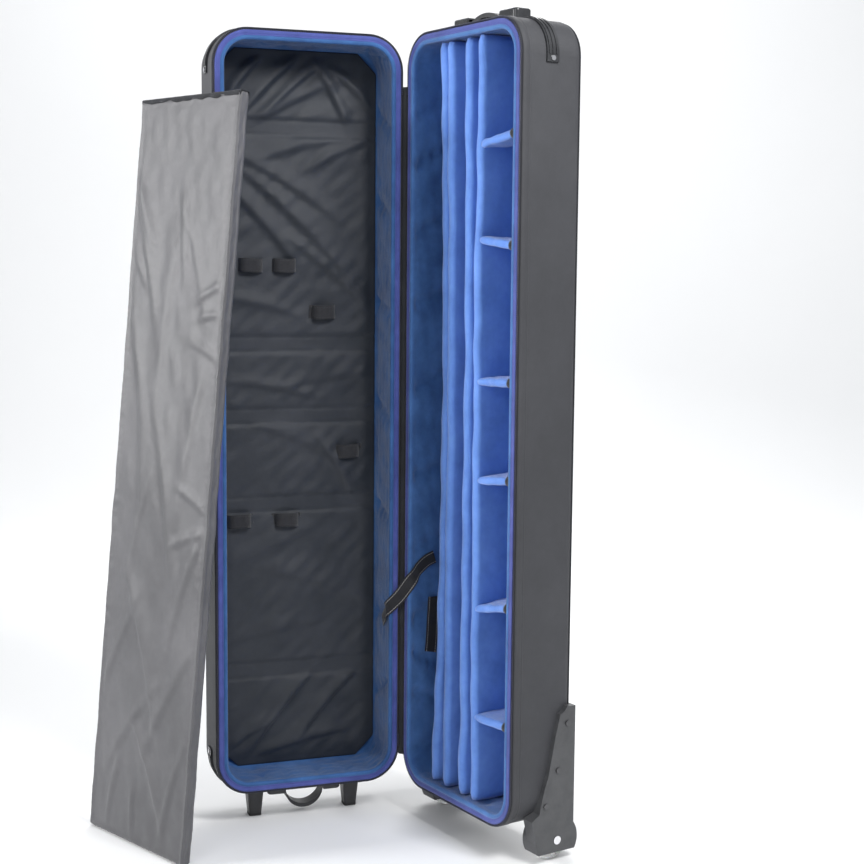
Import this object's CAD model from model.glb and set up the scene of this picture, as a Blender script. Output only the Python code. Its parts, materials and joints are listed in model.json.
import json
import math

import bmesh
import bpy
import numpy as np
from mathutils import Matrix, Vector


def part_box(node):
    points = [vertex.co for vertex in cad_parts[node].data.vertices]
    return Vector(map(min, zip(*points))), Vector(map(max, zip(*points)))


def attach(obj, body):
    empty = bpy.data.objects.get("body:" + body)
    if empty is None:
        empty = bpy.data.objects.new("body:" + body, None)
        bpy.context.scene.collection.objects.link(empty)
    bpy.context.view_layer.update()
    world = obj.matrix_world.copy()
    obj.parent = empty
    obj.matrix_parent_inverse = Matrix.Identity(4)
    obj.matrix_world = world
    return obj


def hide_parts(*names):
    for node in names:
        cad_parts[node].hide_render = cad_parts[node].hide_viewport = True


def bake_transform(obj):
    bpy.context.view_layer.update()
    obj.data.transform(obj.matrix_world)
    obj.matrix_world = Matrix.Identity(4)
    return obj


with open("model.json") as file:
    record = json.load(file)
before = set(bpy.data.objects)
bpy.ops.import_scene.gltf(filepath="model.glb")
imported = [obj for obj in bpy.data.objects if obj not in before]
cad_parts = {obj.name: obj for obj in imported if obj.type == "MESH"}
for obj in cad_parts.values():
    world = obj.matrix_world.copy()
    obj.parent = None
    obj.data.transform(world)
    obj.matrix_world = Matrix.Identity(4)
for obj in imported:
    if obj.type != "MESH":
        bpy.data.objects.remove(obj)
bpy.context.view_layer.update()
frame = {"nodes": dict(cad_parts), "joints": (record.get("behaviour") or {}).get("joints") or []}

nodes = frame["nodes"]

# the case's two halves, each in its own frame: x from the hinge side to the outer side,
# depth from the meeting rims to the back, z up from the case's foot
hinge = next(j for j in frame["joints"] if j["name"] == "lid_hinge")
hingeX, hingeY = hinge["pos_m"][0], hinge["pos_m"][1]
swing = math.radians(hinge["range_deg"][1])
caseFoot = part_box("base_cover")[0].z
case = dict(corner=0.060, rim=0.020)


def toRow(x, depth, z, half):
    # the base stays square to the frame, the lid is mirrored in depth and turned open
    x, depth, z = np.broadcast_arrays(x, depth, z)
    if half == "base":
        return np.stack((x + hingeX, depth + hingeY, z + caseFoot), -1)
    c, s = math.cos(swing), math.sin(swing)
    return np.stack((x * c - depth * s + hingeX, -x * s - depth * c + hingeY, z + caseFoot), -1)


def nodePoints(node):
    flat = np.empty(len(nodes[node].data.vertices) * 3)
    nodes[node].data.vertices.foreach_get("co", flat)
    return flat.reshape(-1, 3)


def ownPlace(points, half):
    # x, depth and z of points in their half's own frame: toRow the other way round
    x, y, z = (points - (hingeX, hingeY, caseFoot)).T
    if half == "base":
        return x, y, z
    c, s = math.cos(swing), math.sin(swing)
    return x * c - y * s, -(x * s + y * c), z


def nodeSpan(node, half):
    # lowest and highest x, depth and z of a CAD node in its half's own frame
    own = np.stack(ownPlace(nodePoints(node), half))
    return own.min(1), own.max(1)


def readHalf(half, floorNode):
    low, high = nodeSpan(half + "_cover", half)
    front = nodeSpan(half + "_rim_binding", half)[0][1]
    return dict(name=half, left=low[0], right=high[0], low=low[2], high=high[2], back=high[1],
                front=front, floor=nodeSpan(floorNode, half)[1][1])


base = readHalf("base", "long_divider_1")
lid = readHalf("lid", "lid_back_lining")
print("case halves read", {k: round(float(v), 4) for k, v in base.items() if k != "name"})


def ripple(a, b, size, seed, count=9, stretch=1.0):
    # smooth random waves: a sum of cosines whose directions and phases come from a seeded list
    dice = np.random.default_rng(seed)
    total = np.zeros(np.broadcast(a, b).shape)
    for _ in range(count):
        angle, phase = dice.uniform(0, math.pi), dice.uniform(0, 2 * math.pi)
        wave = 2 * math.pi / (size * dice.uniform(0.6, 1.7))
        total = total + np.cos(wave * (a * math.cos(angle) + b * math.sin(angle) / stretch) + phase)
    return total / math.sqrt(count)


def crease(a, b, at, angle, length, width, height):
    # one fold: a ridge, steep on one side, that fades out along its length
    c, s = math.cos(math.radians(angle)), math.sin(math.radians(angle))
    along, across = (a - at[0]) * c + (b - at[1]) * s, (b - at[1]) * c - (a - at[0]) * s
    across = across + 0.12 * length * (along / length) ** 2
    side = np.where(across > 0, across / width, across / (0.45 * width))
    return height * np.exp(-side ** 2) * np.exp(-(along / (0.5 * length)) ** 4)


def ease(x):
    x = np.clip(x, 0, 1)
    return x * x * (3 - 2 * x)


def show(name, data):
    piece = bpy.data.objects.new(name, data)
    bpy.context.scene.collection.objects.link(piece)
    return piece


def gridPiece(name, grid, closedU=False, closedV=False, flip=False, caps=False, cut=(1.0, 1.0)):
    # a mesh from a grid of points, with its own UV map in metres along the two directions
    nu, nv = grid.shape[:2]
    stepsU, stepsV = (nu if closedU else nu - 1), (nv if closedV else nv - 1)
    i, j = np.meshgrid(np.arange(stepsU), np.arange(stepsV), indexing="ij")
    corners = [(i, j), (i + 1, j), (i + 1, j + 1), (i, j + 1)]
    if flip:
        corners = corners[::-1]
    faces = np.stack([(a % nu) * nv + (b % nv) for a, b in corners], -1).reshape(-1, 4)
    uv = np.stack([np.stack((a / stepsU * cut[0], b / stepsV * cut[1]), -1) for a, b in corners], 2)
    uv = uv.reshape(-1, 2)
    polygons = faces.tolist()
    if caps:  # the rings at the two ends of v are closed with one face each
        ring = np.arange(nu) * nv
        polygons += [ring.tolist(), (ring[::-1] + nv - 1).tolist()]
        uv = np.concatenate((uv, np.zeros((2 * nu, 2))))
    mesh = bpy.data.meshes.new(name)
    mesh.from_pydata(grid.reshape(-1, 3).tolist(), [], polygons)
    mesh.uv_layers.new(name="cut").data.foreach_set("uv", uv.astype(np.float32).ravel())
    mesh.polygons.foreach_set("use_smooth", np.ones(len(polygons), bool))
    mesh.update()
    return show(name, mesh)


def closeUp(piece, gap=1e-6):
    # doubles merged, then faces turned outwards, for a shell that is closed
    work = bmesh.new()
    work.from_mesh(piece.data)
    bmesh.ops.remove_doubles(work, verts=work.verts, dist=gap)
    bmesh.ops.dissolve_degenerate(work, edges=work.edges, dist=gap)
    bmesh.ops.recalc_face_normals(work, faces=work.faces)
    work.to_mesh(piece.data)
    work.free()
    piece.data.update()
    return piece


def thicken(piece, sheet, offset=-1.0):
    solid = piece.modifiers.new("thickness", "SOLIDIFY")
    solid.thickness, solid.offset = sheet, offset
    return piece


def copies(name, template, faces, places, across, along, out):
    # one small shape repeated at many places, each turned by its own three directions
    a, b, c = (template[None, :, k, None] for k in range(3))
    points = (places[:, None, :] + a * across[:, None, :] + b * along[:, None, :]
              + c * out[:, None, :])
    shift = np.arange(len(places))[:, None, None] * len(template)
    polygons = (np.array(faces)[None] + shift).reshape(-1, len(faces[0]))
    mesh = bpy.data.meshes.new(name)
    mesh.from_pydata(points.reshape(-1, 3).tolist(), [], polygons.tolist())
    mesh.update()
    return show(name, mesh)


def keep(piece, body, finish, instead=()):
    piece.data.materials.clear()
    piece.data.materials.append(finish)
    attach(piece, body)
    if instead:
        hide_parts(*instead)
    return piece


def roundedRing(wide, deep, rounds, cornerSteps=6, sideSteps=6):
    # points round a rectangle from 0 to wide and 0 to deep; rounds are its four corner radii,
    # from the near left corner, going near right, far right, far left
    centres = [(rounds[0], rounds[0], 180), (wide - rounds[1], rounds[1], 270),
               (wide - rounds[2], deep - rounds[2], 0), (rounds[3], deep - rounds[3], 90)]
    corners = []
    for (cx, cy, start), radius in zip(centres, rounds):
        turn = np.radians(start + np.linspace(0, 90, cornerSteps))
        corners.append(np.stack((cx + radius * np.cos(turn), cy + radius * np.sin(turn)), -1))
    ring = []
    for k in range(4):
        ring.append(corners[k])
        start, end = corners[k][-1], corners[(k + 1) % 4][0]
        share = np.linspace(0, 1, sideSteps + 1)[1:-1, None]
        ring.append(start + (end - start) * share)
    return np.concatenate(ring)


def outlineWalk(half, step=0.010, cornerSteps=11):
    # a walk round the case outline: left side up, top, outer side down, bottom back
    radius = case["corner"]
    w, h = (half["right"] - half["left"]) / 2 - radius, (half["high"] - half["low"]) / 2 - radius
    centre, facing = [], []
    sides = [((-w, -h), (-w, h), (-1, 0), 180), ((-w, h), (w, h), (0, 1), 90),
             ((w, h), (w, -h), (1, 0), 0), ((w, -h), (-w, -h), (0, -1), -90)]
    for start, end, normal, turn in sides:
        count = int(round(math.dist(start, end) / step))
        share = (np.arange(count) / count)[:, None]
        centre.append(np.array(start) + (np.array(end) - np.array(start)) * share)
        facing.append(np.broadcast_to(np.array(normal, float), (count, 2)))
        bend = np.radians(turn - np.linspace(0, 90, cornerSteps, endpoint=False))
        centre.append(np.broadcast_to(np.array(end), (cornerSteps, 2)))
        facing.append(np.stack((np.cos(bend), np.sin(bend)), -1))
    centre, facing = np.concatenate(centre), np.concatenate(facing)
    outer = centre + facing * radius
    length = np.concatenate(([0], np.cumsum(np.linalg.norm(np.diff(outer, axis=0), axis=1))))
    return dict(centre=centre, facing=facing, along=length, wide=w, tall=h)


def aroundCase(half, walk, inset, depth):
    # surface carried round the outline: inset is how far inside the outer wall, depth how far
    # back. past the corner radius the whole rectangle shrinks, so a floor closes on its middle
    radius = case["corner"]
    inset, depth = np.broadcast_arrays(inset, depth)
    reach = np.maximum(radius - inset, 0)
    shrink = np.maximum(inset - radius, 0)
    midX, midZ = (half["left"] + half["right"]) / 2, (half["low"] + half["high"]) / 2
    cx, cz = walk["centre"][:, 0][:, None], walk["centre"][:, 1][:, None]
    nx, nz = walk["facing"][:, 0][:, None], walk["facing"][:, 1][:, None]
    x = midX + cx * (1 - shrink / walk["wide"]) + nx * reach
    z = midZ + cz * (1 - np.minimum(shrink, walk["wide"]) / walk["tall"]) + nz * reach
    return toRow(x, depth, z, half["name"])


def newFinish(name):
    finish = bpy.data.materials.new(name)
    finish.use_nodes = True
    tree = finish.node_tree
    shader = tree.nodes["Principled BSDF"]
    return finish, tree, shader


def node(tree, kind, **settings):
    made = tree.nodes.new(kind)
    for key, value in settings.items():
        setattr(made, key, value)
    return made


def setIn(item, **values):
    for key, value in values.items():
        item.inputs[key].default_value = value


def rgba(colour):
    return (colour[0], colour[1], colour[2], 1.0)


def place3d(tree, turn=0.0):
    spot = node(tree, "ShaderNodeTexCoord")
    mapping = node(tree, "ShaderNodeMapping")
    mapping.inputs["Rotation"].default_value = (0, 0, turn)
    tree.links.new(spot.outputs["Object"], mapping.inputs["Vector"])
    return mapping.outputs["Vector"]


def threads(tree, where, pitch, wobble=0.6):
    # three crossed sets of threads, so that a weave shows on faces of any direction
    total = None
    for direction in "XYZ":
        wave = node(tree, "ShaderNodeTexWave", wave_type="BANDS", bands_direction=direction)
        setIn(wave, Scale=2 * math.pi / 20 / pitch, Distortion=wobble, Detail=1.0)
        wave.inputs["Detail Scale"].default_value = 2.0
        tree.links.new(where, wave.inputs["Vector"])
        if total is None:
            total = wave.outputs["Fac"]
        else:
            add = node(tree, "ShaderNodeMath", operation="ADD")
            tree.links.new(total, add.inputs[0])
            tree.links.new(wave.outputs["Fac"], add.inputs[1])
            total = add.outputs[0]
    return total


def blotch(tree, where, size, detail=3.0, rough=0.55):
    noise = node(tree, "ShaderNodeTexNoise")
    setIn(noise, Scale=1 / size, Detail=detail, Roughness=rough)
    tree.links.new(where, noise.inputs["Vector"])
    return noise.outputs["Fac"]


def ramp(tree, value, stops):
    # stops: a list of (place, colour or grey)
    made = node(tree, "ShaderNodeValToRGB")
    while len(made.color_ramp.elements) < len(stops):
        made.color_ramp.elements.new(0.5)
    for element, (place, colour) in zip(made.color_ramp.elements, stops):
        element.position = place
        element.color = rgba(colour if hasattr(colour, "__len__") else (colour,) * 3)
    tree.links.new(value, made.inputs["Fac"])
    return made.outputs["Color"]


def bumped(tree, shader, layers):
    # layers: (height value, strength, distance), stacked one on another
    last = None
    for height, strength, distance in layers:
        bump = node(tree, "ShaderNodeBump")
        setIn(bump, Strength=strength, Distance=distance)
        tree.links.new(height, bump.inputs["Height"])
        if last is not None:
            tree.links.new(last, bump.inputs["Normal"])
        last = bump.outputs["Normal"]
    tree.links.new(last, shader.inputs["Normal"])


def clothFinish(name, colour, dark, light, thread=0.0007, rough=(0.62, 0.8), sheen=0.25,
                weave=0.5, patch=0.05, turn=0.0, grain=0.012, specular=0.3):
    # woven cloth: slow patches of shade, a finer grain in the colour, crossed threads in the bump
    finish, tree, shader = newFinish(name)
    where = place3d(tree, turn)
    slow, fine = blotch(tree, where, patch), blotch(tree, where, grain, 4.0, 0.7)
    shade = ramp(tree, slow, [(0.30, dark), (0.5, colour), (0.72, light)])
    mix = node(tree, "ShaderNodeMix", data_type="RGBA", blend_type="OVERLAY")
    mix.inputs[0].default_value = 0.22
    tree.links.new(shade, mix.inputs[6])
    tree.links.new(ramp(tree, fine, [(0.3, 0.32), (0.7, 0.68)]), mix.inputs[7])
    tree.links.new(mix.outputs[2], shader.inputs["Base Color"])
    tree.links.new(ramp(tree, slow, [(0.3, rough[0]), (0.7, rough[1])]), shader.inputs["Roughness"])
    setIn(shader, **{"Sheen Weight": sheen, "Sheen Roughness": 0.4, "Specular IOR Level": specular})
    bumped(tree, shader, [(blotch(tree, where, 0.02, 4.0), 0.25, 0.0015),
                          (threads(tree, where, thread), weave, 0.00025)])
    return finish


def plasticFinish(name, colour, rough, grain=0.0012, bump=0.2, wear=0.06, coat=0.0, metal=0.0,
                  specular=0.5):
    # moulded plastic or bare metal: fine grain, smudged roughness and a little colour drift
    finish, tree, shader = newFinish(name)
    where = place3d(tree)
    smudge, fine = blotch(tree, where, 0.03, 5.0, 0.65), blotch(tree, where, grain, 2.0)
    lighter = tuple(min(1.0, c * (1 + 3 * wear) + 0.25 * wear) for c in colour)
    darker = tuple(c * (1 - 2 * wear) for c in colour)
    tree.links.new(ramp(tree, smudge, [(0.3, darker), (0.7, lighter)]), shader.inputs["Base Color"])
    tree.links.new(ramp(tree, smudge, [(0.3, rough * 0.8), (0.75, min(1, rough * 1.3))]),
                   shader.inputs["Roughness"])
    setIn(shader, **{"Metallic": metal, "Coat Weight": coat, "Specular IOR Level": specular})
    bumped(tree, shader, [(fine, bump, 0.0002)])
    return finish


webbingLook = dict(wide=0.024, rib=0.0016, twill=0.0021, stitch=0.0045, stitchShare=0.68,
                   stitchIn=0.0032, stitchThick=0.0006)


def webbingFinish(name, colour, edge):
    # woven strap: ribs across it and a dashed line of pale stitches near both edges, by its UV
    look = webbingLook
    finish, tree, shader = newFinish(name)
    spot = node(tree, "ShaderNodeUVMap", uv_map="cut")
    parts = node(tree, "ShaderNodeSeparateXYZ")
    tree.links.new(spot.outputs["UV"], parts.inputs[0])

    def maths(operation, *values):
        made = node(tree, "ShaderNodeMath", operation=operation)
        for slot, value in enumerate(values):
            if isinstance(value, (int, float)):
                made.inputs[slot].default_value = value
            else:
                tree.links.new(value, made.inputs[slot])
        return made.outputs[0]

    along, across = parts.outputs["X"], parts.outputs["Y"]
    ribs = maths("SINE", maths("MULTIPLY", along, 2 * math.pi / look["rib"]))
    slanted = maths("ADD", along, across)
    twill = maths("SINE", maths("MULTIPLY", slanted, 2 * math.pi / look["twill"]))
    fromMiddle = maths("ABSOLUTE", maths("SUBTRACT", across, look["wide"] / 2))
    offLine = maths("ABSOLUTE", maths("SUBTRACT", fromMiddle, look["wide"] / 2 - look["stitchIn"]))
    line = maths("LESS_THAN", offLine, look["stitchThick"])
    dash = maths("FRACT", maths("MULTIPLY", along, 1 / look["stitch"]))
    stitches = maths("MULTIPLY", line, maths("LESS_THAN", dash, look["stitchShare"]))
    mix = node(tree, "ShaderNodeMix", data_type="RGBA")
    tree.links.new(stitches, mix.inputs[0])
    paler = tuple(c * 1.7 for c in colour)
    shade = ramp(tree, blotch(tree, spot.outputs["UV"], 0.01), [(0.3, colour), (0.7, paler)])
    tree.links.new(shade, mix.inputs[6])
    mix.inputs[7].default_value = rgba(edge)
    tree.links.new(mix.outputs[2], shader.inputs["Base Color"])
    setIn(shader, **{"Roughness": 0.62, "Sheen Weight": 0.2, "Specular IOR Level": 0.35})
    bumped(tree, shader, [(ribs, 0.5, 0.0003), (twill, 0.3, 0.0003), (stitches, 0.6, 0.0004)])
    return finish


def urethaneFinish(name):
    # cloudy clear tread: mostly see-through, tinted, dusty where it has rolled
    finish, tree, shader = newFinish(name)
    where = place3d(tree)
    dust = blotch(tree, where, 0.012, 5.0, 0.7)
    tree.links.new(ramp(tree, dust, [(0.35, (0.90, 0.91, 0.91)), (0.75, (0.78, 0.78, 0.77))]),
                   shader.inputs["Base Color"])
    tree.links.new(ramp(tree, dust, [(0.35, 0.18), (0.75, 0.42)]), shader.inputs["Roughness"])
    setIn(shader, **{"Transmission Weight": 0.55, "IOR": 1.45, "Subsurface Weight": 0.2,
                     "Subsurface Scale": 0.01})
    bumped(tree, shader, [(blotch(tree, where, 0.002, 2.0), 0.15, 0.0003)])
    return finish


blue = dict(colour=(0.060, 0.160, 0.400), dark=(0.042, 0.120, 0.320), light=(0.080, 0.200, 0.480))
deepBlue = dict(colour=(0.038, 0.118, 0.310), dark=(0.027, 0.088, 0.250),
                light=(0.052, 0.150, 0.380))
paleBlue = dict(colour=(0.135, 0.285, 0.74), dark=(0.112, 0.245, 0.66), light=(0.160, 0.320, 0.80))
slate = dict(colour=(0.022, 0.026, 0.034), dark=(0.016, 0.020, 0.027), light=(0.030, 0.034, 0.043))
shellGrey = dict(colour=(0.046, 0.047, 0.053), dark=(0.040, 0.041, 0.046),
                 light=(0.054, 0.055, 0.061))
panelGrey = dict(colour=(0.098, 0.097, 0.103), dark=(0.078, 0.077, 0.082),
                 light=(0.120, 0.118, 0.125))
violet = dict(colour=(0.070, 0.092, 0.330), dark=(0.052, 0.070, 0.260), light=(0.095, 0.118, 0.400))
hingeGrey = dict(colour=(0.020, 0.022, 0.026), dark=(0.014, 0.015, 0.018),
                 light=(0.030, 0.032, 0.036))
trimBlack = dict(colour=(0.012, 0.013, 0.017), dark=(0.009, 0.009, 0.012),
                 light=(0.020, 0.021, 0.028))
hookBlack = dict(colour=(0.012, 0.012, 0.014), dark=(0.006, 0.006, 0.008),
                 light=(0.03, 0.03, 0.034))
coated = dict(thread=0.0009, rough=(0.5, 0.66), sheen=0.1, weave=0.35, patch=0.25, grain=0.03,
              specular=0.42, **shellGrey)

finishes = {
    "baseShell": clothFinish("base cover cloth", **coated),
    "lidShell": clothFinish("lid cover cloth", turn=swing, **coated),
    "trim": clothFinish("edge trim", thread=0.0006, rough=(0.5, 0.65), sheen=0.15, **trimBlack),
    "baseLining": clothFinish("base lining cloth", thread=0.0006, sheen=0.35, weave=0.4, **blue),
    "lidLining": clothFinish("lid lining cloth", thread=0.0006, sheen=0.35, weave=0.4, turn=swing,
                             **deepBlue),
    "divider": clothFinish("divider cloth", thread=0.0006, sheen=0.5, weave=0.4, **paleBlue),
    "zipTape": clothFinish("zip tape", thread=0.0008, rough=(0.55, 0.7), sheen=0.3, **violet),
    "slate": clothFinish("back lining cloth", thread=0.0006, rough=(0.42, 0.58), sheen=0.2,
                         weave=0.3, specular=0.5, turn=swing, **slate),
    "panel": clothFinish("panel cloth", thread=0.0006, rough=(0.38, 0.50), sheen=0.15, weave=0.22,
                         patch=0.18, specular=0.5, **panelGrey),
    "hinge": clothFinish("hinge cloth", thread=0.0009, rough=(0.6, 0.75), **hingeGrey),
    "hookTape": clothFinish("hook tape", thread=0.0014, rough=(0.8, 0.95), sheen=0.4, weave=1.0,
                            patch=0.004, **hookBlack),
    "webbing": webbingFinish("webbing", (0.012, 0.012, 0.014), (0.42, 0.40, 0.38)),
    "loop": webbingFinish("loop webbing", (0.016, 0.016, 0.018), (0.030, 0.030, 0.032)),
    "zipTeeth": plasticFinish("zip teeth", (0.030, 0.032, 0.055), 0.38),
    "housing": plasticFinish("housing plastic", (0.062, 0.063, 0.067), 0.5, bump=0.5,
                             specular=0.45),
    "board": plasticFinish("case board", (0.08, 0.08, 0.09), 0.7),
    "steel": plasticFinish("bright steel", (0.68, 0.68, 0.70), 0.24, bump=0.1, metal=1.0),
    "darkSteel": plasticFinish("blackened steel", (0.10, 0.10, 0.105), 0.42, bump=0.15,
                               metal=0.8),
    "strip": plasticFinish("strip plastic", (0.022, 0.023, 0.026), 0.26, bump=0.15, coat=0.2),
    "cap": plasticFinish("cap plastic", (0.020, 0.021, 0.024), 0.22, bump=0.12, coat=0.3),
    "grip": plasticFinish("grip rubber", (0.026, 0.026, 0.028), 0.5, bump=0.6),
    "hub": plasticFinish("hub plastic", (0.66, 0.66, 0.66), 0.35),
    "foot": plasticFinish("foot plastic", (0.024, 0.024, 0.026), 0.4, bump=0.5),
    "pad": plasticFinish("pad rubber", (0.018, 0.018, 0.018), 0.75, bump=0.8),
    "core": plasticFinish("panel core", (0.45, 0.44, 0.42), 0.8),
    "tread": urethaneFinish("wheel tread"),
}

# what each CAD node that stays on show is made of
nodeFinish = {
    "base_cover": "baseShell", "lid_cover": "lidShell", "base_board": "board", "lid_board": "board",
    "hook_tabs": "hookTape", "wheel_housing_outer": "housing", "wheel_housing_hinge": "housing",
    "housing_screws": "darkSteel", "wheel_axles": "steel", "base_corner_strips": "strip",
    "lid_corner_strips": "strip", "base_strip_rivets": "steel", "lid_strip_rivets": "steel",
    "zip_sliders": "steel", "zip_pull_top": "steel", "zip_pull_bottom": "steel", "lid_feet": "foot",
    "foot_pads": "pad", "foot_screws": "steel", "panel_board": "core",
}
for wheel in ("outer_wheel", "hinge_wheel"):
    nodeFinish.update({wheel + "_tyre": "tread", wheel + "_hub": "hub",
                       wheel + "_bearings": "steel"})
for handle in ("top_handle", "bottom_handle", "side_handle"):
    nodeFinish.update({handle + "_caps": "cap", handle + "_cap_studs": "steel",
                       handle + "_grip": "grip"})
for name, finishName in nodeFinish.items():
    shown = nodes[name].data.materials
    shown.clear()
    shown.append(finishes[finishName])
print("finishes made", len(finishes))


liningLook = dict(
    sheet=0.0012, pucker=0.0016, deepest=0.009, floorPucker=0.0012, rollPucker=0.0004,
    coarse=0.05, fine=0.016, rollFine=0.012, floorCoarse=0.07,  # how long the wrinkles' waves are
    rimFade=(0.004, 0.012), footFade=(0.002, 0.015), floorFade=(0.030, 0.020),  # start, length
    rollWide=0.0042, rollDeep=0.0035,  # the roll over the inner edge: half its width, its height
    footWide=0.006, footTall=0.007,    # the rounded corner between wall and floor
    floorRows=(0.034, 0.046, 0.058, 0.072, 0.088, 0.106, 0.126, 0.146),
)


def makeLining(half, folds, seed):
    # profile from the rim's roll over the inner edge, down the wall and across the floor to the
    # middle. wrinkles push the wall outwards into its padding, never into the cavity
    look, side = liningLook, half["name"]
    walk = outlineWalk(half)
    front, floor, rim = half["front"], half["floor"], case["rim"]
    halfWide, footTop = (half["right"] - half["left"]) / 2, floor - look["footTall"]
    roll, foot = np.radians(np.linspace(180, 0, 13)), np.radians(np.linspace(0, 90, 6))[1:]
    wallDepth = np.linspace(front + look["rollDeep"], footTop, 26)[1:]
    floorInset = np.append(look["floorRows"], halfWide - 0.0005)
    inset = np.concatenate((rim - look["rollWide"] * (1 - np.cos(roll)),
                            np.full(len(wallDepth), rim),
                            rim + look["footWide"] * (1 - np.cos(foot)), floorInset))[None, :]
    depth = np.concatenate((front + look["rollDeep"] * (1 - np.sin(roll)), wallDepth,
                            footTop + look["footTall"] * np.sin(foot),
                            np.full(len(floorInset), floor)))[None, :]
    along = walk["along"][:, None]
    (rimGap, rimLong), (footGap, footLong) = look["rimFade"], look["footFade"]
    onWall = ease((depth - front - rimGap) / rimLong) * ease((floor - footGap - depth) / footLong)
    onRoll = (depth < front + 0.006) * ease((inset - rim + 2 * look["rollWide"]) / 0.004)
    floorStart, floorLong = look["floorFade"]
    onFloor = np.clip((inset - floorStart) / floorLong, 0, 1) * (inset < halfWide - 0.001)
    wrinkles = 0.5 * ripple(along, depth * 0.7, look["coarse"], seed)
    wrinkles = wrinkles + 0.5 * ripple(along, depth, look["fine"], seed + 1)
    push = look["pucker"] * (1 + np.clip(wrinkles, -1, 1)) * onWall
    for at, angle, length, width, height in folds:
        push = push + crease(along, depth, at, angle, length, width, height) * onWall
    rollWave = 1 + ripple(along, depth, look["rollFine"], seed + 2, stretch=4)
    push = np.clip(push - look["rollPucker"] * onRoll * rollWave, -0.0002, look["deepest"])
    floorWave = ripple(along, inset, look["floorCoarse"], seed + 3)
    lift = look["floorPucker"] * (0.5 + 0.5 * floorWave) * onFloor
    grid = aroundCase(half, walk, inset - push * (onWall > 0), depth + lift)
    piece = gridPiece(f"{side}_lining_cloth", grid, closedU=True, flip=side == "base",
                      cut=(walk["along"][-1], floor + halfWide))
    work = bmesh.new()
    work.from_mesh(piece.data)
    bmesh.ops.remove_doubles(work, verts=work.verts, dist=0.0011)  # the floor's middle line
    work.to_mesh(piece.data)
    work.free()
    thicken(piece, look["sheet"])
    keep(piece, side, finishes[side + "Lining"], [side + "_lining"])


# each: (place along the outline walk, depth), slope in degrees, length, width, height of the fold.
# in metres from the foot of the hinge side, the hinge side runs from 0 to 1.18, the top from 1.27
# to 1.48, the outer side from 1.58 to 2.76, the foot from 2.85
baseFolds = [
    ((1.12, 0.035), 68, 0.20, 0.010, 0.009), ((1.04, 0.050), 64, 0.17, 0.009, 0.008),
    ((0.93, 0.060), 66, 0.18, 0.010, 0.008), ((0.80, 0.050), 70, 0.20, 0.011, 0.008),
    ((0.66, 0.060), 64, 0.17, 0.009, 0.007), ((0.50, 0.055), 72, 0.18, 0.010, 0.008),
    ((0.38, 0.070), 66, 0.14, 0.008, 0.007), ((0.26, 0.060), 60, 0.16, 0.010, 0.008),
    ((0.15, 0.050), -58, 0.14, 0.009, 0.008), ((0.08, 0.060), -64, 0.12, 0.008, 0.007),
    ((1.31, 0.030), 80, 0.08, 0.004, 0.004), ((1.35, 0.034), 96, 0.09, 0.005, 0.005),
    ((1.39, 0.028), 84, 0.08, 0.004, 0.004), ((1.44, 0.036), 104, 0.09, 0.005, 0.004),
    ((2.90, 0.030), 78, 0.08, 0.005, 0.005), ((2.95, 0.034), 97, 0.09, 0.004, 0.005),
    ((3.00, 0.028), 88, 0.08, 0.005, 0.005), ((3.05, 0.036), 105, 0.08, 0.004, 0.004),
]
lidFolds = [
    ((1.22, 0.035), 75, 0.08, 0.005, 0.006), ((1.26, 0.040), 108, 0.09, 0.005, 0.006),
    ((1.31, 0.040), 96, 0.09, 0.005, 0.005), ((1.36, 0.036), 84, 0.08, 0.005, 0.006),
    ((1.41, 0.040), 102, 0.08, 0.004, 0.005), ((1.45, 0.042), 80, 0.09, 0.006, 0.005),
    ((1.52, 0.036), 80, 0.08, 0.005, 0.005), ((1.10, 0.050), 62, 0.14, 0.009, 0.008),
    ((0.95, 0.045), 68, 0.16, 0.010, 0.008), ((0.78, 0.050), 74, 0.15, 0.009, 0.007),
    ((0.60, 0.050), 66, 0.16, 0.010, 0.008), ((0.42, 0.045), 72, 0.15, 0.009, 0.007),
    ((0.24, 0.045), -66, 0.14, 0.010, 0.008), ((0.10, 0.050), -60, 0.12, 0.008, 0.007),
    ((2.20, 0.045), 70, 0.14, 0.012, 0.005), ((1.80, 0.050), -70, 0.13, 0.010, 0.005),
    ((2.88, 0.040), 104, 0.08, 0.005, 0.006), ((2.92, 0.036), 84, 0.08, 0.005, 0.005),
    ((2.98, 0.040), 98, 0.09, 0.005, 0.006), ((3.03, 0.036), 82, 0.08, 0.005, 0.005),
]
makeLining(base, baseFolds, 11)
makeLining(lid, lidFolds, 23)
print("linings made")

rimLook = dict(
    # zip tape, from the teeth to the lining's roll: how far inside the outer wall, and its rise
    tapeInset=(0.0036, 0.0038, 0.0050, 0.0066, 0.0084, 0.0098,
               0.0106, 0.0112, 0.0122, 0.0132, 0.0140, 0.0146),
    tapeRise=(0.0030, 0.0010, 0.0004, 0.0003, 0.0004, 0.0006,
              0.0014, 0.0006, 0.0007, 0.0011, 0.0022, 0.0036),
    tapeSheet=0.0008, tapeWave=0.00025,
    cord=0.0016, cordIn=0.0010, cordBack=0.0036,        # trim cord round the front edge
    bandBack=0.0048, bandWide=0.016, bandProud=0.0007,  # sewn band behind it
    bandSunk=0.0006, bandEdge=0.0006, bandGroove=0.0028,
    piping=0.0019, pipingIn=0.0038, pipingBack=0.0031,  # piping where the wall meets the back
    toothPitch=0.0030, tooth=(0.0016, 0.0010, 0.0009),  # half a tooth's width, height and length
    toothIn=0.0018, toothBack=0.0014, sliderEnd=0.0065,
)


def ringPiece(name, half, walk, inset, depth, finish, cut=0.01):
    # a closed section carried round the outline
    grid = aroundCase(half, walk, inset[None, :], depth[None, :])
    piece = gridPiece(f"{half['name']}_{name}", grid, closedU=True, closedV=True,
                      cut=(walk["along"][-1], cut))
    keep(closeUp(piece), half["name"], finish)


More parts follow.
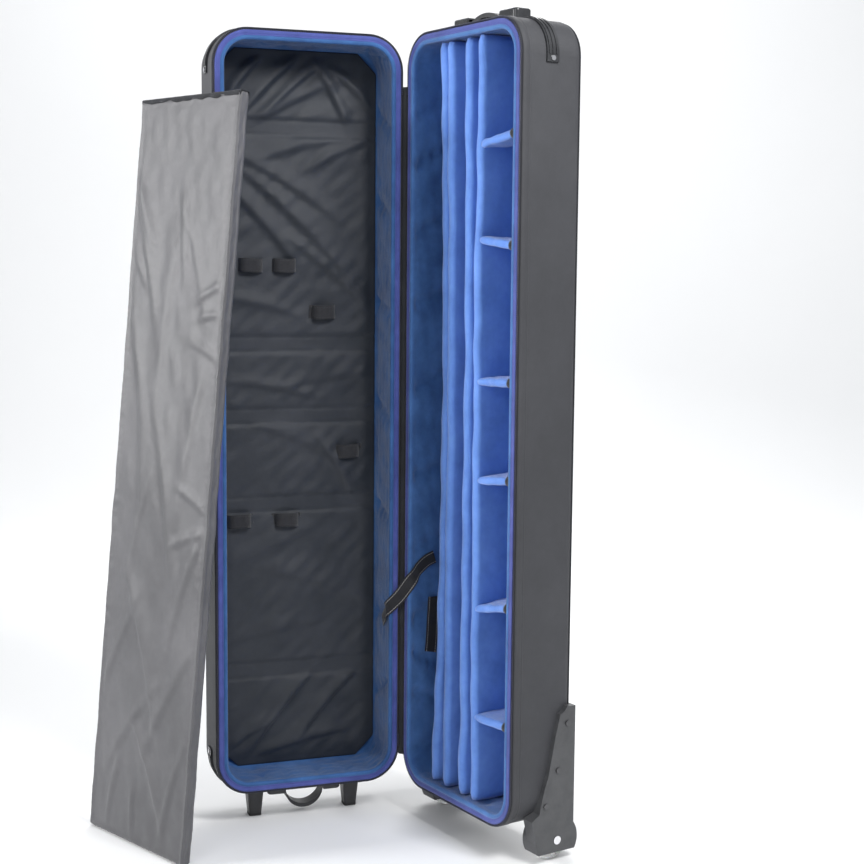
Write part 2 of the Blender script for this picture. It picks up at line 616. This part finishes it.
def makeRim(half):
    look, side, front = rimLook, half["name"], half["front"]
    walk = outlineWalk(half, 0.012, 12)
    inset, rise = np.array(look["tapeInset"])[None, :], np.array(look["tapeRise"])[None, :]
    wave = look["tapeWave"] * ripple(walk["along"][:, None], inset, 0.02, 31, stretch=5)
    tape = gridPiece(side + "_rim_tape", aroundCase(half, walk, inset, front + rise + np.abs(wave)),
                     closedU=True, flip=side == "base", cut=(walk["along"][-1], 0.014))
    thicken(tape, look["tapeSheet"])
    keep(tape, side, finishes["zipTape"], [side + "_rim_binding"])
    turn = np.linspace(0, 2 * math.pi, 10, endpoint=False)
    ringPiece("edge_cord", half, walk, look["cordIn"] + look["cord"] * np.cos(turn),
              front + look["cordBack"] + look["cord"] * np.sin(turn), finishes["trim"])
    # the band's section is a flat strip with a sewn groove near its back edge
    proud = look["bandProud"] * np.array([0, -0.6, -1, -1, -0.35, -1, -1, -0.6, 0])
    proud[[0, -1]] = look["bandSunk"]
    wide, edge, groove = look["bandWide"], look["bandEdge"], look["bandGroove"]
    step = np.array([0, 0, edge, wide - groove - edge, wide - groove, wide - groove + edge,
                     wide - edge, wide, wide])
    ringPiece("edge_band", half, walk, proud, front + look["bandBack"] + step,
              finishes[side + "Shell"], 0.02)
    ringPiece("back_piping", half, walk, look["pipingIn"] + look["piping"] * np.cos(turn),
              half["back"] - look["pipingBack"] + look["piping"] * np.sin(turn),
              finishes["trim"])


def makeTeeth(half):
    # one small block with a sloped top at every pitch, all round but between the parked sliders
    side, pitch = half["name"], rimLook["toothPitch"]
    fine = outlineWalk(half, pitch, 30)
    low, high = nodeSpan("zip_sliders", "base")
    start = low[2] + rimLook["sliderEnd"] - case["corner"]
    end = high[2] - rimLook["sliderEnd"] - case["corner"]
    spots = np.arange(int(fine["along"][-1] / pitch)) * pitch
    spots = spots[(spots < start) | (spots > end)]
    points = aroundCase(half, fine, np.full((1, 1), rimLook["toothIn"]),
                        np.full((1, 1), half["front"] + rimLook["toothBack"]))[:, 0]

    def onRim(places):
        return np.stack([np.interp(places, fine["along"], points[:, k]) for k in range(3)], -1)

    near = onRim(spots)
    along = onRim(spots + 0.001) - near
    along = along / np.linalg.norm(along, axis=1)[:, None]
    depthWay = toRow(0.0, 1.0, 0.0, side) - toRow(0.0, 0.0, 0.0, side)
    out = np.broadcast_to(-depthWay, near.shape)
    w, t, l = rimLook["tooth"]
    block = np.array([(-w, -l, -t), (w, -l, -t), (w, l, -t), (-w, l, -t),
                      (-w, -l * 0.7, t * 0.6), (w * 0.8, -l * 0.5, t), (w * 0.8, l * 0.5, t),
                      (-w, l * 0.7, t * 0.6)])
    sides = [(0, 3, 2, 1), (4, 5, 6, 7), (0, 1, 5, 4), (1, 2, 6, 5), (2, 3, 7, 6), (3, 0, 4, 7)]
    teeth = copies(side + "_zip_teeth", block, sides, near, np.cross(along, out), along, out)
    keep(closeUp(teeth, 1e-7), side, finishes["zipTeeth"], [side + "_zip_chain"])


for half in (base, lid):
    makeRim(half)
    makeTeeth(half)
print("rims made")

wallLook = dict(edge=0.0088, backRound=0.003, crown=0.0008, endRound=0.010, endGap=0.0008,
                steps=120, frontDeep=0.03, swell=0.05, swellLong=0.16, wave=0.0012, waveLong=0.11,
                endTuck=0.004, gather=0.06, gatherPitch=0.013, gatherLong=0.02)
# how far each wall's middle strays from its straight place, from the foot to the top
wallSway = [
    [(0.00, -0.017), (0.05, -0.014), (0.13, -0.005), (0.30, 0.003), (0.55, 0.008), (0.80, 0.003),
     (1.00, -0.006)],
    [(0.00, 0.001), (0.30, 0.002), (0.55, 0.005), (0.80, 0.001), (1.00, -0.006)],
    [(0.00, 0.000), (0.35, 0.002), (0.60, 0.004), (0.85, 0.000), (1.00, -0.003)],
    [(0.00, 0.001), (0.25, -0.001), (0.50, -0.004), (0.75, -0.004), (1.00, 0.002)],
]


def smoothPath(places, values, at):
    # cosine-eased steps between given heights, smoothed once more over a short stretch
    fine = np.linspace(0, 1, 400)
    rough = np.interp(fine, places, values)
    window = np.hanning(61)
    padded = np.pad(rough, 30, mode="reflect", reflect_type="odd")
    return np.interp(at, fine, np.convolve(padded, window / window.sum(), mode="valid"))


def makeWall(number, sway):
    label, look = f"long_divider_{number}", wallLook
    low, high = nodeSpan(label, "base")
    wide, deep, tall = high - low
    ring = roundedRing(wide, deep, [look["edge"]] * 2 + [look["backRound"]] * 2, 9, 12)
    even = np.linspace(0, 1, look["steps"])
    share = 0.08 * (1 - np.cos(math.pi * even)) / 2 + 0.92 * even  # rows closer near the ends
    height = (low[2] + look["endGap"] + share * (tall - 2 * look["endGap"]))[None, :]
    fromEnd = np.minimum(height - low[2], high[2] - height)
    tuck = np.sqrt(np.clip(1 - (1 - np.clip(fromEnd / look["endRound"], 0, 1)) ** 2, 0.04, 1))
    x, y = (ring[:, 0] - wide / 2)[:, None], ring[:, 1][:, None]
    nearFront = ease(1 - y / look["frontDeep"])
    lean = smoothPath(*zip(*sway), share)[None, :] * (0.35 + 0.65 * ease(1 - y / deep))
    swell = 1 + look["swell"] * ripple(height, y, look["swellLong"], 40 + number) * nearFront
    puff = np.sign(x) * look["crown"] * (1 - (2 * y / deep - 1) ** 2)
    ends = np.cos(height * 2 * math.pi / look["gatherPitch"]) * np.exp(
        -(fromEnd / look["gatherLong"]) ** 2)
    gather = 1 + look["gather"] * ends * nearFront
    px = low[0] + wide / 2 + lean + (x * swell + puff) * (tuck * 0.5 + 0.5) * gather
    wave = look["wave"] * (1 + ripple(height, x, look["waveLong"], 50 + number))
    py = low[1] + y + (wave + look["endTuck"] * (1 - tuck)) * nearFront
    pz = np.broadcast_to(height, px.shape) - 0.001 * nearFront * np.sign(share - 0.5)[None, :]
    piece = gridPiece(label + "_pad", toRow(px, py, pz, "base"), closedU=True, caps=True,
                      cut=(0.25, tall))
    keep(closeUp(piece), "base", finishes["divider"], [label])


for number, sway in enumerate(wallSway, start=1):
    makeWall(number, sway)
print("long dividers made")

shelfLook = dict(edge=0.0055, backRound=0.003, crown=0.0014, endRound=0.006, endFlat=0.72,
                 overlap=0.0035, steps=26, wrinkle=0.0006, wave=0.0015,
                 flapWide=0.015, flapDeep=0.019, flapOuter=0.0017, flapInner=0.0005, flapOut=0.0012)
shelfTilt = [0.014, -0.011, 0.004, 0.010, 0.018, 0.004]  # how much higher each outer end stands


def makeShelf(number, tilt):
    label, look = f"cross_divider_{number}", shelfLook
    low, high = nodeSpan(label, "base")
    long, deep, tall = high - low
    middle = (low[2] + high[2]) / 2
    edge, backRound = look["edge"], look["backRound"]
    ring = roundedRing(deep, tall, [edge, backRound, backRound, edge], 7, 8)
    share = np.linspace(0, 1, look["steps"])[None, :]
    y, z = ring[:, 0][:, None], (ring[:, 1] - tall / 2)[:, None]
    x = low[0] - look["overlap"] + share * (long + look["overlap"])
    fromEnd = np.clip(np.minimum(share, 1 - share) * long / look["endRound"], 0, 1)
    tuck = look["endFlat"] + (1 - look["endFlat"]) * np.sqrt(1 - (1 - fromEnd) ** 2)
    puff = look["crown"] * (1 - (2 * y / deep - 1) ** 2) * (1 - (2 * share - 1) ** 4)
    wrinkle = look["wrinkle"] * ripple(x, y, 0.03, 70 + number)
    nearFront = ease(1 - y / deep)
    pz = middle + z * tuck + np.sign(z) * (puff + wrinkle) + tilt * (share - 0.5) * nearFront
    py = low[1] + y + look["wave"] * nearFront * (1 + ripple(x, z, 0.05, 80 + number))
    piece = gridPiece(label + "_pad", toRow(x, py, pz, "base"), closedU=True, caps=True,
                      cut=(0.2, long))
    keep(closeUp(piece), "base", finishes["divider"], [label])
    # black flap of hook tape folded over the shelf's front edge at its outer end
    arc = np.radians(np.linspace(90, 270, 15))
    section = []
    for gap, way in ((look["flapOuter"], 1), (look["flapInner"], -1)):
        reach = tall / 2 + gap
        line = np.stack((tall / 2 + reach * np.cos(arc), reach * np.sin(arc)), -1)
        line = np.concatenate(([(look["flapDeep"], reach)], line, [(look["flapDeep"], -reach)]))
        section.append(line[::way])
    y, z = np.concatenate(section).T[:, :, None]
    x = np.linspace(high[0] - look["flapWide"], high[0] - 0.0006, 6)[None, :]
    z = middle + z + tilt * ((x - low[0]) / long - 0.5) * ease(1 - y / deep)
    flap = gridPiece(f"hook_flap_{number}", toRow(x, low[1] + y + look["flapOut"], z, "base"),
                     closedU=True, caps=True)
    keep(closeUp(flap), "base", finishes["hookTape"])


for number, tilt in enumerate(shelfTilt, start=1):
    makeShelf(number, tilt)
print("cross dividers made")

backLook = dict(sheet=0.0010, edge=0.0015, lift=0.0022, puff=0.0035, deepest=0.013, held=0.030,
                groove=0.0011, grooveWide=0.0030, cornerCut=0.034, bandTall=0.026, bandHold=0.80,
                coarse=0.13, fine=0.04, finePuff=0.0008,
                bands=(1.146, 0.774, 0.648, 0.492, 0.194))
# each: (x from the hinge side, height), slope in degrees, length, width, height of the fold
backFolds = [
    ((0.262, 1.232), -52, 0.12, 0.012, 0.0070), ((0.225, 1.215), -46, 0.20, 0.013, 0.0075),
    ((0.172, 1.222), -40, 0.16, 0.012, 0.0065), ((0.200, 1.180), -30, 0.22, 0.014, 0.0050),
    ((0.100, 1.200), 62, 0.14, 0.013, 0.0070), ((0.072, 1.222), 40, 0.09, 0.010, 0.0060),
    ((0.150, 1.120), -14, 0.20, 0.015, 0.0040), ((0.100, 1.105), -26, 0.14, 0.014, 0.0040),
    ((0.195, 1.060), 30, 0.24, 0.018, 0.0050), ((0.240, 1.000), 46, 0.22, 0.018, 0.0060),
    ((0.160, 0.985), 44, 0.30, 0.020, 0.0065), ((0.110, 0.905), 40, 0.18, 0.016, 0.0045),
    ((0.235, 0.845), 12, 0.14, 0.014, 0.0035), ((0.120, 0.715), -8, 0.20, 0.014, 0.0030),
    ((0.210, 0.700), 10, 0.16, 0.012, 0.0030), ((0.170, 0.610), 24, 0.22, 0.018, 0.0035),
    ((0.095, 0.560), 58, 0.12, 0.014, 0.0045), ((0.215, 0.420), -24, 0.24, 0.022, 0.0035),
    ((0.130, 0.350), 20, 0.22, 0.020, 0.0035), ((0.200, 0.270), -10, 0.22, 0.018, 0.0030),
    ((0.200, 0.125), -50, 0.20, 0.014, 0.0070), ((0.118, 0.128), -48, 0.16, 0.014, 0.0070),
    ((0.250, 0.085), -30, 0.10, 0.012, 0.0040), ((0.160, 0.062), -12, 0.16, 0.012, 0.0040),
]


def makeBackLining():
    # a sheet stretched over the floor: it swells between its sewn bands, is held flat along the
    # bands and round its edge, and its corners are cut off
    look, inset = backLook, case["rim"] + backLook["edge"]
    left, right = lid["left"] + inset, lid["right"] - inset
    low, high = lid["low"] + inset, lid["high"] - inset
    u, v = np.linspace(0, 1, 100)[:, None], np.linspace(0, 1, 420)[None, :]
    z = low + (high - low) * v
    near = np.minimum(z - low, high - z)
    notch = np.clip(look["cornerCut"] - near, 0, None)
    x = left + notch + (right - left - 2 * notch) * u
    held = ease(np.minimum(np.minimum(x - left, right - x), near) / look["held"])
    groove = np.zeros_like(z)
    for middle in look["bands"]:
        for edge in (middle - look["bandTall"] / 2, middle + look["bandTall"] / 2):
            groove = np.maximum(groove, np.exp(-((z - edge) / look["grooveWide"]) ** 2))
        onBand = np.exp(-((z - middle) / (look["bandTall"] * 0.62)) ** 4)
        held = held * (1 - look["bandHold"] * onBand)
    swell = look["puff"] * (0.8 + 0.35 * ripple(x, z, look["coarse"], 61))
    swell = swell + look["finePuff"] * ripple(x, z, look["fine"], 62)
    for at, angle, length, width, height in backFolds:
        swell = swell + crease(x, z, at, angle, length, width, height)
    rise = np.clip(swell * held, -0.0005, look["deepest"]) - look["groove"] * groove
    grid = toRow(x, lid["floor"] - look["lift"] - rise, z, "lid")
    piece = gridPiece("lid_back_cloth", grid, cut=(right - left, high - low))
    thicken(piece, look["sheet"])
    keep(piece, "lid", finishes["slate"], ["lid_back_lining"])


makeBackLining()
print("back lining made")


def ribbonPiece(name, path, side, sheet, wide, steps=6, crown=0.0):
    # a strap: a flat section with rounded edges carried along a path, side is its width direction
    path, side = np.asarray(path, float), np.asarray(side, float)
    gone = np.concatenate(([0], np.cumsum(np.linalg.norm(np.diff(path, axis=0), axis=1))))
    way = np.gradient(path, axis=0)
    way = way / np.linalg.norm(way, axis=1)[:, None]
    side = np.broadcast_to(side, path.shape)
    side = side - way * np.sum(side * way, 1)[:, None]
    side = side / np.linalg.norm(side, axis=1)[:, None]
    up = np.cross(side, way)
    ring = roundedRing(wide, sheet, [sheet * 0.48] * 4, 4, steps)
    a, b = ring[:, 0][:, None] - wide / 2, ring[:, 1][:, None] - sheet / 2
    b = b + crown * (1 - (2 * a / wide) ** 2)
    grid = path[None] + a[..., None] * side[None] + b[..., None] * up[None]
    piece = gridPiece(name, grid, closedU=True, caps=True)
    # its UV runs along the strap and across it, in metres
    corner = np.empty(len(piece.data.loops), int)
    piece.data.loops.foreach_get("vertex_index", corner)
    ringAt, pathAt = corner // len(path), corner % len(path)
    uv = np.stack((gone[pathAt], ring[ringAt, 0]), -1).astype(np.float32)
    piece.data.uv_layers["cut"].data.foreach_set("uv", uv.ravel())
    return closeUp(piece, 1e-7)


def curved(points, steps):
    # a smooth path through points hand-placed along a strap: Catmull-Rom spans
    p = np.asarray(points, float)
    p = np.concatenate((2 * p[:1] - p[1:2], p, 2 * p[-1:] - p[-2:-1]))
    t = np.linspace(0, 1, steps, endpoint=False)[:, None]
    spans = []
    for k in range(1, len(p) - 2):
        a, b, c, d = p[k - 1], p[k], p[k + 1], p[k + 2]
        spans.append(0.5 * (2 * b + (c - a) * t + (2 * a - 5 * b + 4 * c - d) * t ** 2
                            + (3 * b - a - 3 * c + d) * t ** 3))
    return np.concatenate(spans + [p[-2:-1]])


loopLook = dict(wide=0.024, sheet=0.0019, long=0.052, bow=0.0125, off=0.0042, cadLong=0.044)


def makeLoops():
    # the CAD loops are told apart by their height, then by their place across
    x, _, z = ownPlace(nodePoints("webbing_loops"), "lid")
    spots = []
    for level in sorted(set(np.round(z, 3))):
        here = x[np.abs(z - level) < 0.0006]
        for start in sorted(set(np.round(here, 3))):
            if not any(abs(level - o[1]) < 0.026 and -0.002 < start - o[0] < 0.050 for o in spots):
                spots.append((start, level))
    share = np.linspace(-1, 1, 41)
    bow = loopLook["bow"] * np.clip(1 - (share / 0.80) ** 4, 0, None) ** 0.6
    for number, (start, level) in enumerate(spots, start=1):
        x = start + loopLook["cadLong"] / 2 + loopLook["long"] / 2 * share
        z = level + loopLook["wide"] / 2 + 0.0008 * np.sin(share * 3 + number)
        path = toRow(x, lid["floor"] - loopLook["off"] - bow, z, "lid")
        loop = ribbonPiece(f"webbing_loop_{number}", path, (0, 0, 1), loopLook["sheet"],
                           loopLook["wide"], 5)
        keep(loop, "lid", finishes["loop"],
             ["webbing_loops"] if number == 1 else ())


makeLoops()

stayLook = dict(
    wide=0.024, sheet=0.0015, off=0.0016,
    # places along each half's hinge-side wall: depth from the rims, and height
    lidRun=((0.034, 0.283), (0.018, 0.297), (0.004, 0.311)),
    baseRun=((0.005, 0.366), (0.020, 0.384), (0.036, 0.396), (0.052, 0.402)),
    slack=(0.002, -0.001, -0.003), blendAt=(0.004, 0.35),
)


def makeStay():
    # the lid's run, then the slack between the rims, then the base's run, each flat on its wall
    wall = base["left"] + case["rim"]

    def onWall(places, half, off=0.0):
        depth, height = np.array(places).T
        return toRow(wall + off, depth, height, half)

    lidRun = onWall(stayLook["lidRun"], "lid", stayLook["off"])
    baseRun = onWall(stayLook["baseRun"], "base", stayLook["off"])
    gap = (lidRun[-1] + baseRun[0]) / 2 + np.array(stayLook["slack"])
    path = curved(np.concatenate((lidRun, gap[None], baseRun)), 10)
    stay = ribbonPiece("stay_webbing", path, (0.05, 0.05, 1), stayLook["sheet"], stayLook["wide"])
    stay.data.materials.append(finishes["webbing"])
    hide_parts("stay_strap")
    start, end = (onWall([stayLook["blendAt"]], half)[0] for half in ("base", "lid"))
    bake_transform(stay)


makeStay()

# from the middle of the sewn end: how far off the wall, deeper into the case, and down
looseHang = [(0.0, 0.004, 0.0), (0.0004, 0.002, 0.030), (0.0015, 0.0, 0.055),
             (0.0040, -0.003, 0.078), (0.0072, -0.007, 0.097)]


def makeLoose():
    # the free end: sewn flat at its top, hanging off the wall and curling at its tip
    low, high = nodeSpan("loose_strap", "base")
    off, deeper, down = np.array(looseHang).T
    points = toRow(low[0] + 0.0009 + off, (low[1] + high[1]) / 2 + deeper, high[2] - down, "base")
    strap = ribbonPiece("loose_webbing", curved(points, 8), (0, 1, 0), stayLook["sheet"],
                        stayLook["wide"])
    keep(strap, "base", finishes["webbing"], ["loose_strap"])


makeLoose()
print("webbing made")

hingeLook = dict(leaf=0.032, nearRim=0.0035, off=0.0006, tuck=0.0008, sheet=0.0009, wave=0.0002,
                 leafSteps=9, rows=90)


def makeHinge():
    # one strip from the base's outer wall, round the hinge line, to the lid's outer wall
    look = hingeLook
    low, high = nodeSpan("hinge_leaf", "lid")
    depth = np.linspace(look["leaf"], look["nearRim"], look["leafSteps"])
    baseLeaf = toRow(base["left"] - look["off"], depth, 0.0, "base")[:, :2]
    lidLeaf = toRow(base["left"] - look["off"], depth[::-1], 0.0, "lid")[:, :2]
    a, b = baseLeaf[-1], lidLeaf[0]
    fold = np.array([[hingeX, hingeY]]) - look["tuck"]
    share = np.linspace(0, 1, look["leafSteps"])[1:-1, None]
    bend = (1 - share) ** 2 * a + 2 * share * (1 - share) * fold + share ** 2 * b
    line = np.concatenate((baseLeaf, bend, lidLeaf))
    height = np.linspace(low[2], high[2], look["rows"])
    shape = (len(line), look["rows"])
    grid = np.concatenate((np.broadcast_to(line[:, None, :], shape + (2,)),
                           np.broadcast_to((height + caseFoot)[None, :, None], shape + (1,))), -1)
    grid = grid + look["wave"] * ripple(height[None, :, None], line[:, 0][:, None, None], 0.05, 91)
    strip = gridPiece("hinge_cloth", grid, cut=(0.07, high[2] - low[2]))
    thicken(strip, look["sheet"], 0.0)
    strip.data.materials.append(finishes["hinge"])
    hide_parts("hinge_spine", "hinge_leaf")
    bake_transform(strip)


makeHinge()
print("hinge made")

panelLook = dict(
    yaw=12.3, lean=5.9, round=0.0038, steps=260, endRound=0.004,
    puff=0.0026, foldScale=1.5, deepest=0.0080, held=0.022,
    welt=0.0017, weltIn=0.0030, pucker=0.0007, puckerPitch=0.017, puckerIn=0.010,
    gather=0.0010, gatherWave=0.0007, wave=0.0008, fine=0.0006,
    bindTall=0.007, bindProud=0.0009, bindWave=0.0016, bindBulge=0.0004,
)
# each: (across from the free edge, height), slope in degrees, length, width, height of the fold
panelFolds = [
    ((0.030, 1.075), -62, 0.20, 0.013, 0.0034), ((0.045, 1.010), -70, 0.24, 0.016, 0.0034),
    ((0.020, 0.985), -55, 0.12, 0.011, 0.0030), ((0.150, 1.020), -82, 0.16, 0.013, 0.0026),
    ((0.185, 0.985), -66, 0.20, 0.016, 0.0024), ((0.235, 0.930), 24, 0.10, 0.009, 0.0026),
    ((0.240, 0.890), 8, 0.09, 0.008, 0.0024), ((0.236, 0.830), -20, 0.10, 0.010, 0.0022),
    ((0.110, 0.860), 84, 0.34, 0.026, 0.0026), ((0.060, 0.740), -78, 0.30, 0.022, 0.0026),
    ((0.205, 0.700), 80, 0.26, 0.018, 0.0026), ((0.150, 0.600), -74, 0.30, 0.024, 0.0026),
    ((0.235, 0.585), -26, 0.10, 0.009, 0.0024), ((0.232, 0.530), 18, 0.10, 0.009, 0.0024),
    ((0.075, 0.520), 76, 0.24, 0.018, 0.0024), ((0.215, 0.440), 70, 0.22, 0.016, 0.0028),
    ((0.120, 0.330), -66, 0.28, 0.020, 0.0030), ((0.050, 0.330), 64, 0.20, 0.016, 0.0026),
    ((0.195, 0.260), 60, 0.22, 0.016, 0.0030), ((0.090, 0.190), 52, 0.20, 0.015, 0.0030),
    ((0.160, 0.130), -58, 0.18, 0.014, 0.0030), ((0.225, 0.120), 74, 0.16, 0.011, 0.0026),
    ((0.060, 0.080), 80, 0.12, 0.011, 0.0024), ((0.120, 0.050), 96, 0.10, 0.010, 0.0022),
]


def panelFrame():
    # the panel's own directions, across, back and up, and its CAD cover's lowest and highest
    # corners along them
    yaw, lean = math.radians(panelLook["yaw"]), math.radians(panelLook["lean"])
    along = np.array([math.cos(yaw), math.sin(yaw), 0])
    level = np.array([-math.sin(yaw), math.cos(yaw), 0])
    up = np.array([0, 0, math.cos(lean)]) + level * math.sin(lean)
    ways = np.stack((along, np.cross(up, along), up))
    own = nodePoints("panel_cover") @ ways.T
    return ways, own.min(0), own.max(0)


def makePanel():
    look = panelLook
    ways, low, high = panelFrame()
    wide, thick, tall = high - low

    def onPanel(*own):
        return sum((low[k] + own[k])[..., None] * ways[k] for k in range(3))

    ring = roundedRing(wide, thick, [look["round"]] * 4, 7, 52)
    share = np.linspace(0, 1, look["steps"])[None, :]
    x, y = ring[:, 0][:, None], ring[:, 1][:, None]
    height = share * tall * np.ones_like(x)
    level = np.zeros_like(x)
    fromSide = np.minimum(x, wide - x)
    toEdge = np.minimum(fromSide, np.minimum(height, tall - height))
    swell = look["puff"] * (0.55 + 0.45 * ripple(x, height, 0.20, 101, stretch=1.8))
    swell = swell + look["fine"] * ripple(x, height, 0.045, 102, stretch=1.5)
    for at, angle, length, width, fold in panelFolds:
        swell = swell + look["foldScale"] * crease(x, height, at, angle, length, width, fold)
    swell = np.clip(swell - 0.001, -0.0015, look["deepest"]) * ease((toEdge - 0.004) / look["held"])
    # a sewn welt stands up round each face, with a row of small puckers inside it
    welt = look["welt"] * np.exp(-((toEdge - look["weltIn"]) / 0.0017) ** 2)
    drift = 3 * ripple(height, x, 0.06, 104)
    pucker = look["pucker"] * np.sin(height * 2 * math.pi / look["puckerPitch"] + drift)
    pucker = pucker * np.exp(-((toEdge - look["puckerIn"]) / 0.006) ** 2)
    # the narrow sides are gathered: their cloth dips between the two welts
    narrow = np.exp(-(np.abs(y - thick / 2) / (0.30 * thick)) ** 4) * (fromSide < 0.0006)
    gather = narrow * (look["gather"] + look["gatherWave"] * ripple(height, y, 0.022, 105))
    wave = look["wave"] * ripple(height, level, 0.10, 103)
    fromEnd = np.clip(np.minimum(share, 1 - share) * tall / look["endRound"], 0, 1)
    endTuck = np.sqrt(np.clip(1 - (1 - fromEnd) ** 2, 0.30, 1))
    face = np.clip((y / thick - 0.5) * 2.4, -1, 1)
    back = thick / 2 + (y - thick / 2) * endTuck + face * (swell + welt + pucker)
    x = x + (wave - gather) * np.where(x > wide / 2, 1, -1) * (fromSide < 0.006)
    panel = gridPiece("panel_pad", onPanel(x, back, height), closedU=True, caps=True,
                      cut=(0.56, tall))
    keep(closeUp(panel), "panel", finishes["panel"], ["panel_cover"])
    # binding tape folded over the top edge
    tape, proud = look["bindTall"], look["bindProud"]
    section = np.array([(-proud, -tape), (-proud, -0.001), (0.001, proud), (thick - 0.001, proud),
                        (thick + proud, -0.001), (thick + proud, -tape), (thick + 0.0002, -tape),
                        (thick - 0.0010, -0.0016), (0.0010, -0.0016), (-0.0002, -tape)])
    back, up = section[:, 0][:, None], section[:, 1][:, None]
    run = np.linspace(-proud, wide + proud, 60)[None, :]
    level = np.zeros_like(run)
    lower = look["bindWave"] * ripple(run, level, 0.05, 106) * (up < -0.005)
    bulge = look["bindBulge"] * ripple(run, level, 0.03, 107) * np.sign(back - thick / 2)
    grid = onPanel(run + 0 * up, back + bulge + 0.5 * lower, tall + up + lower)
    binding = gridPiece("panel_top_binding", grid, closedU=True, caps=True, cut=(0.04, wide))
    keep(closeUp(binding), "panel", finishes["trim"])


makePanel()
print("panel made")

stageLook = dict(heading=57, front=-6, back=3.2, bend=1.2, tall=6.0, wide=8, patch=1.5,
                 world=(0.93, 0.96, 1.0, 1), worldStrength=0.50)


def makeStage():
    # floor sheet that curves up behind the object
    look = stageLook
    turn, bend, back = np.radians(np.linspace(0, 90, 24)), look["bend"], look["back"]
    run = np.concatenate((np.linspace(look["front"], back, 12)[:-1], back + bend * np.sin(turn),
                          [back + bend]))[None, :]
    rise = np.concatenate((np.zeros(11), bend * (1 - np.cos(turn)), [look["tall"]]))[None, :]
    across = np.linspace(-look["wide"], look["wide"], 16)[:, None]
    heading = math.radians(look["heading"])
    wayX, wayY = -math.sin(heading), math.cos(heading)
    grid = np.stack((run * wayX + across * wayY, run * wayY - across * wayX, rise + 0 * across), -1)
    floor = gridPiece("studio_floor", grid, flip=True)
    finish, tree, shader = newFinish("studio floor")
    shade = ramp(tree, blotch(tree, place3d(tree), look["patch"]), [(0.3, 0.93), (0.7, 0.96)])
    tree.links.new(shade, shader.inputs["Base Color"])
    setIn(shader, Roughness=0.8)
    floor.data.materials.append(finish)


makeStage()


lights = [
    dict(name="key", at=(-0.90, -2.60, 1.40), aim=(0.03, 0.0, 0.95), size=0.7, power=13, spread=72),
    dict(name="front", at=(1.6, -2.8, 2.4), aim=(0.0, 0.0, 0.8), size=1.6, power=18, spread=180),
    dict(name="side", at=(1.75, 0.35, 2.35), aim=(0.2, 0.1, 1.1), size=0.7, power=46, spread=180),
    dict(name="back", at=(-2.2, 2.4, 2.6), aim=(0.0, 0.0, 0.9), size=1.6, power=36, spread=180),
    dict(name="wall", at=(-1.0, 0.7, 3.4), aim=(-3.8, 2.5, 1.4), size=1.5, power=60, spread=180),
]
for light in lights:
    lamp = bpy.data.lights.new(light["name"], "AREA")
    lamp.shape, lamp.size, lamp.size_y = "RECTANGLE", light["size"], light["size"]
    lamp.energy, lamp.spread = light["power"], math.radians(light["spread"])
    shown = show(light["name"], lamp)
    shown.location = light["at"]
    aim = Vector(light["aim"]) - Vector(light["at"])
    shown.rotation_euler = aim.to_track_quat("-Z", "Y").to_euler()
world = bpy.data.worlds.new("studio")
world.use_nodes = True
setIn(world.node_tree.nodes["Background"], Color=stageLook["world"],
      Strength=stageLook["worldStrength"])
bpy.context.scene.world = world
bpy.context.scene.view_settings.view_transform = "Standard"

viewer = dict(at=(2.2139, -1.2304, 0.9774), ahead=(-0.8326, 0.5428, -0.1104), roll=0.51, lens=64.04)
camera = show("camera", bpy.data.cameras.new("camera"))
ahead = Vector(viewer["ahead"]).normalized()
right = ahead.cross(Vector((0, 0, 1))).normalized()
up = right.cross(ahead)
r = math.radians(viewer["roll"])
right, up = right * math.cos(r) + up * math.sin(r), up * math.cos(r) - right * math.sin(r)
turned = camera.matrix_world.copy()
for k in range(3):
    turned[k][0], turned[k][1], turned[k][2] = right[k], up[k], -ahead[k]
    turned[k][3] = viewer["at"][k]
camera.matrix_world = turned
camera.data.sensor_width, camera.data.lens = 36, viewer["lens"]
camera.data.clip_end = 60
bpy.context.scene.camera = camera
print("stage, light and camera set")
